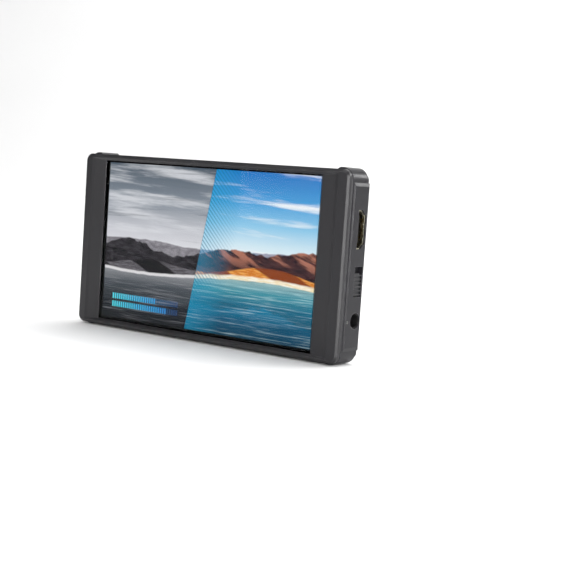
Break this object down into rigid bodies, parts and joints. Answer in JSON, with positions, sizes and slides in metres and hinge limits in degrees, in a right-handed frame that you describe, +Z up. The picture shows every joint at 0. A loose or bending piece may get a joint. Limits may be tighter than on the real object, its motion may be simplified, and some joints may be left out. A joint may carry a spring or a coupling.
{
  "type": "camera field monitor",
  "caption": "Slim camera field monitor with a recessed screen, side sockets, ribbed slide switches and a rear battery bay with a sprung release slider.",
  "frame": {"origin": "bottom centre of the whole unit, on the plane that its lower corner bumpers stand on", "axes": "+X to the viewer's right along the long side, +Y from the screen towards the back, +Z up"},
  "size_m": [0.1421, 0.0154, 0.0766],
  "materials": {
    "frame_plastic": "fine texture, satin",
    "housing_plastic": "fine texture, satin",
    "cover_glass": "polished",
    "black_film": "matt",
    "display": "gloss",
    "backlight_metal": "satin",
    "sheet_steel": "satin",
    "screw_steel": "satin",
    "cable_film": "satin",
    "black_moulding": "satin",
    "brushed_trim": "brushed along its length",
    "hook_steel": "bright",
    "gold_plate": "polished",
    "bay_label_film": "satin film with a plain border",
    "side_label_film": "satin film",
    "slider_plastic": "fine texture, satin",
    "spring_wire": "bright",
    "circuit_board": "solder mask",
    "chip_black": "matt",
    "heat_sink_aluminium": "extruded",
    "tinned_can": "satin",
    "knob_plastic": "satin",
    "champagne_metal": "satin",
    "socket_black": "matt",
    "socket_white": "matt",
    "gold_ring": "polished",
    "nickel_pin": "polished",
    "light_pipe": "clear",
    "insert_brass": "turned"
  },
  "bodies": {
    "housing": {"front_frame": "frame_plastic", "rear_housing": "housing_plastic", "cover_glass": "cover_glass", "glass_gasket": "black_film", "display_panel": "display", "backlight": "backlight_metal", "chassis_plate": "sheet_steel", "chassis_screws": "screw_steel", "display_flex": "cable_film", "flex_connector": "black_moulding", "top_trim": "brushed_trim", "bottom_trim": "brushed_trim", "battery_hooks": "hook_steel", "contact_block": "black_moulding", "battery_contacts": "gold_plate", "bay_label": "bay_label_film", "side_label": "side_label_film", "latch_spring": "spring_wire", "latch_keeper": "sheet_steel", "keeper_screws": "screw_steel", "main_board": "circuit_board", "board_screws": "screw_steel", "processor": "chip_black", "heat_sink": "heat_sink_aluminium", "shield_can": "tinned_can", "power_switch_body": "black_moulding", "lock_switch_body": "black_moulding", "video_in_shell": "champagne_metal", "video_in_tongue": "socket_black", "video_out_shell": "champagne_metal", "video_out_tongue": "socket_black", "data_port_shell": "champagne_metal", "data_port_tongue": "socket_white", "headphone_jack": "black_moulding", "headphone_ring": "gold_ring", "power_jack": "black_moulding", "power_jack_pin": "nickel_pin", "status_light": "light_pipe", "tripod_insert": "insert_brass"},
    "power_switch": {"power_switch_knob": "knob_plastic"},
    "lock_switch": {"lock_switch_knob": "knob_plastic"},
    "release": {"release_slider": "slider_plastic", "latch_tooth": "sheet_steel"}
  },
  "joints": [
    {"name": "power_switch_slide", "type": "slide", "parent": "housing", "child": "power_switch", "axis": [0, 0, 1], "range_m": [0, 0.0025]},
    {"name": "lock_switch_slide", "type": "slide", "parent": "housing", "child": "lock_switch", "axis": [0, 0, 1], "range_m": [0, 0.0025]},
    {"name": "battery_release_slide", "type": "slide", "parent": "housing", "child": "release", "axis": [1, 0, 0], "range_m": [0, 0.0028], "stiffness_N_per_m": 250, "springref_m": -0.003, "deforming": ["latch_spring"]}
  ]
}
